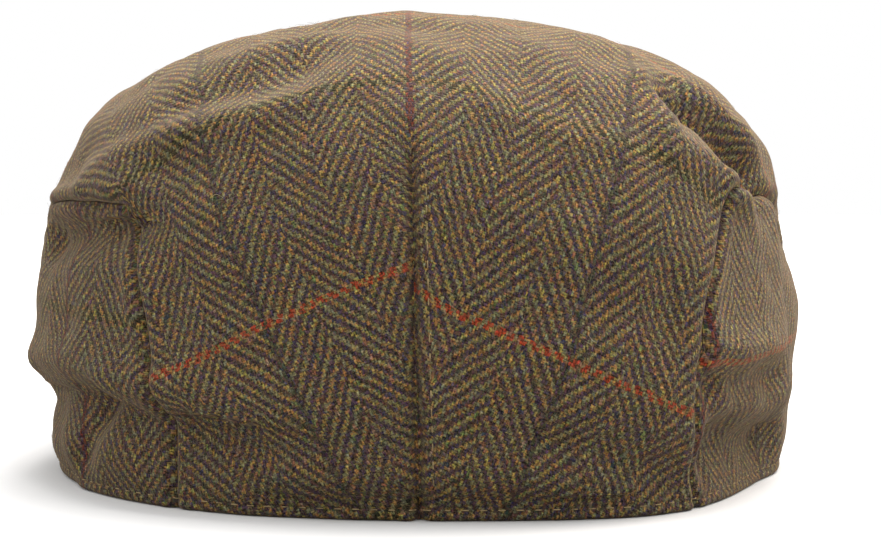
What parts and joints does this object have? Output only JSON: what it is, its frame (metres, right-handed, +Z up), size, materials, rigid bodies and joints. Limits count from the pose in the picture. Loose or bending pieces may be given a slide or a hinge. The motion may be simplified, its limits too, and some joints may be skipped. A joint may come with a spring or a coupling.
{
  "type": "flat cap",
  "caption": "Tweed flat cap with a one-piece top, a centre-back dart, side panels and a stiff peak, open underneath for the head.",
  "frame": {"origin": "on the surface that the cap rests on, under the middle of its length and width", "axes": "+Z up, +Y towards the peak, +X to the right as seen from behind"},
  "size_m": [0.1966, 0.2564, 0.1159],
  "materials": {
    "tweed": "woven wool, matte"
  },
  "bodies": {
    "root": {"crown_top": "tweed", "side_panel_left": "tweed", "side_panel_right": "tweed", "peak": "tweed"}
  },
  "joints": []
}
